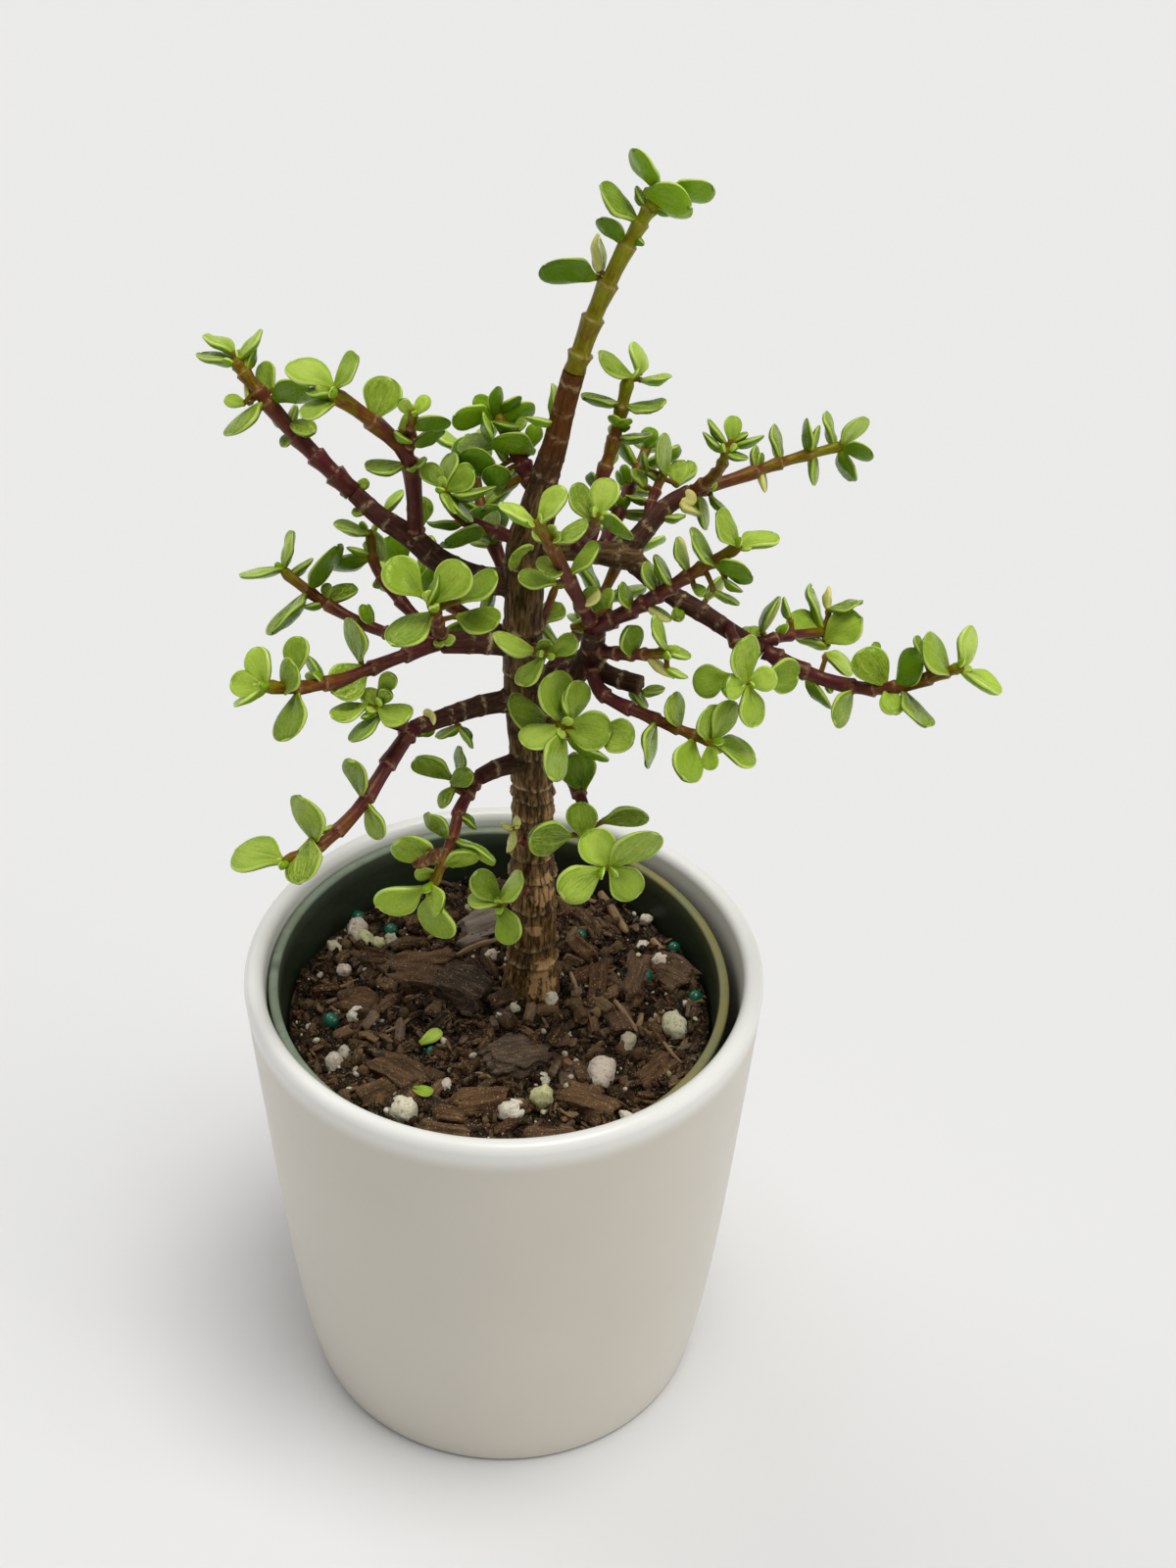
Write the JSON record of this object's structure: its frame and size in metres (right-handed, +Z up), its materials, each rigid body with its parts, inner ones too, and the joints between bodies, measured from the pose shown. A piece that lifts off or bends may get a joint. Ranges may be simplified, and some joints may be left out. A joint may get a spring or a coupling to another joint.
{
  "type": "dwarf jade bonsai in a ceramic pot",
  "caption": "Dwarf jade bonsai with a barked trunk, spreading branches and fleshy round leaves, in a nursery pot that stands inside a plain off-white ceramic cover pot.",
  "frame": {"origin": "centre of the cover pot's flat foot", "axes": "+Z up, the tree grows along it; -Y is the front, towards the viewer; +X is the right, where the longest branch points"},
  "size_m": [0.1717, 0.13, 0.334],
  "materials": {
    "glaze": "satin off-white glaze",
    "liner": "moulded sage green, satin",
    "soil": "bark-based potting mix with pumice grains",
    "bark": "fissured brown bark with ring scars",
    "leaf": "waxy green"
  },
  "bodies": {
    "root": {"ceramic_pot": "glaze", "nursery_pot": "liner", "soil": "soil", "trunk": "bark", "shoot_leader": "leaf", "shoot_left_high": "leaf", "shoot_left_fork": "leaf", "shoot_left_fork_side": "leaf", "shoot_crown_back": "leaf", "shoot_crown_left": "leaf", "shoot_left_middle": "leaf", "shoot_left_middle_back": "leaf", "shoot_left_middle_rear": "leaf", "shoot_left_rosette": "leaf", "shoot_left_low": "leaf", "shoot_left_low_side": "leaf", "shoot_left_lowest": "leaf", "shoot_low_rosette": "leaf", "shoot_right_low": "leaf", "shoot_front_rosette": "leaf", "shoot_front_twig": "leaf", "shoot_right_middle": "leaf", "shoot_right_upright": "leaf", "shoot_right_inner": "leaf", "shoot_right_under": "leaf", "shoot_centre": "leaf", "shoot_right_back": "leaf", "shoot_right_back_top": "leaf", "shoot_right_crown": "leaf", "shoot_crown_right": "leaf", "shoot_right_front": "leaf", "shoot_right_front_rosette": "leaf", "shoot_right_front_back": "leaf", "shoot_back_leaf": "leaf", "shoot_back_high": "leaf", "shoot_back_right": "leaf", "shoot_back_left": "leaf", "shoot_back_crown": "leaf", "shoot_trunk_sprout": "leaf"}
  },
  "joints": []
}
